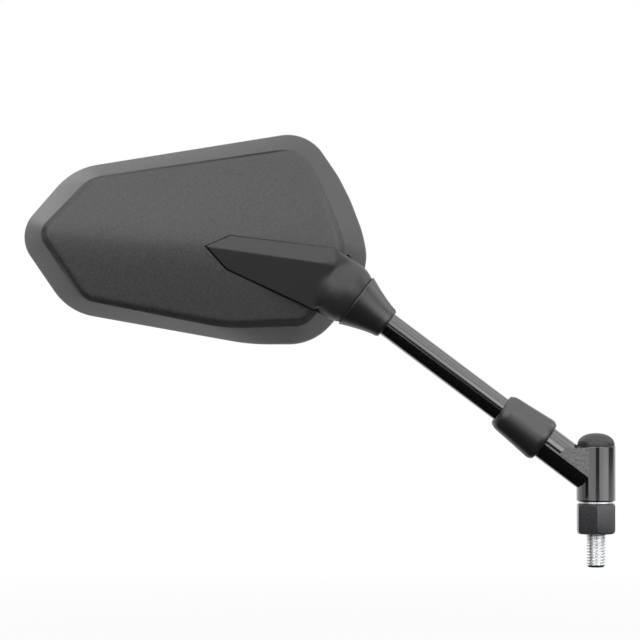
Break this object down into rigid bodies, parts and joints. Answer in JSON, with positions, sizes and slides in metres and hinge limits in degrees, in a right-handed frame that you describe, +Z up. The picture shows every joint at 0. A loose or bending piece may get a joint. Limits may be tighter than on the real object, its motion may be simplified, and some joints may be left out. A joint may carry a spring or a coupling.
{
  "type": "motorcycle mirror",
  "caption": "Handlebar mirror with a wedge-shaped head, faceted bracket, ball joint under a rubber boot, slanted rod, cast elbow, tall lock nut and threaded stud.",
  "frame": {"origin": "on the mounting stud's axis, at the underside of the hexagon nut", "axes": "+Z up along the stud's axis away from its tip, -X towards the head, +Y the way the glass faces, -Y the way the head's back faces"},
  "size_m": [0.3083, 0.0399, 0.2252],
  "materials": {
    "zinc_steel": "bright zinc plate",
    "spring_steel": "plain steel, lightly oiled",
    "black_steel": "black oxide, semi-gloss",
    "gloss_black": "gloss black powder coat over steel",
    "nylon": "natural nylon",
    "cap_plastic": "matte black moulding",
    "sleeve_rubber": "matte black rubber",
    "bracket_plastic": "matte black glass-filled nylon, fine grain",
    "shell_plastic": "matte black moulding, fine grain",
    "carrier_plastic": "plain black moulding",
    "foam": "closed-cell adhesive foam",
    "mirror": "silvered glass"
  },
  "bodies": {
    "mount": {"mount_bolt": "zinc_steel", "disc_springs": "spring_steel"},
    "washer": {"lock_washer": "zinc_steel"},
    "nut": {"clamp_nut": "black_steel"},
    "arm": {"elbow": "gloss_black", "swivel_bush": "nylon", "thrust_washer": "nylon", "barrel_cap": "cap_plastic", "stem_rod": "gloss_black", "stem_lock_nut": "spring_steel", "ball_stud": "zinc_steel"},
    "sleeve": {"lower_sleeve": "sleeve_rubber"},
    "boot": {"neck_boot": "sleeve_rubber"},
    "seat": {"ball_seat": "nylon"},
    "head": {"arm_bracket": "bracket_plastic", "pressure_cup": "nylon", "preload_spring": "spring_steel", "preload_plug": "spring_steel", "rear_housing": "shell_plastic", "bracket_screws": "zinc_steel", "glass_carrier": "carrier_plastic", "foam_pad": "foam", "mirror_glass": "mirror"}
  },
  "joints": [
    {"name": "arm_swivel", "type": "hinge", "parent": "mount", "child": "arm", "pos_m": [0, 0, 0.0274], "axis": [0, 0, 1], "continuous": true},
    {"name": "washer_slide", "type": "slide", "parent": "mount", "child": "washer", "axis": [0, 0, -1], "range_m": [0, 0.0151]},
    {"name": "nut_turn", "type": "hinge", "parent": "washer", "child": "nut", "pos_m": [0, 0, 0.0078], "axis": [0, 0, -1], "range_deg": [0, 3600]},
    {"name": "sleeve_slide", "type": "slide", "parent": "arm", "child": "sleeve", "axis": [-0.7997, 0, 0.6004], "range_m": [0, 0.07]},
    {"name": "head_turn", "type": "hinge", "parent": "arm", "child": "boot", "pos_m": [-0.13115, 0, 0.12587], "axis": [-0.7997, 0, 0.6004], "continuous": true},
    {"name": "head_tilt", "type": "hinge", "parent": "boot", "child": "seat", "pos_m": [-0.13115, 0, 0.12587], "axis": [0, 1, 0], "range_deg": [-14, 14]},
    {"name": "head_pan", "type": "hinge", "parent": "seat", "child": "head", "pos_m": [-0.13115, 0, 0.12587], "axis": [0.6004, 0, 0.7997], "range_deg": [-10, 10]}
  ],
  "couplings": [
    {"joint": "washer_slide", "follows": "nut_turn", "m_per_rad": 0.00023873}
  ]
}
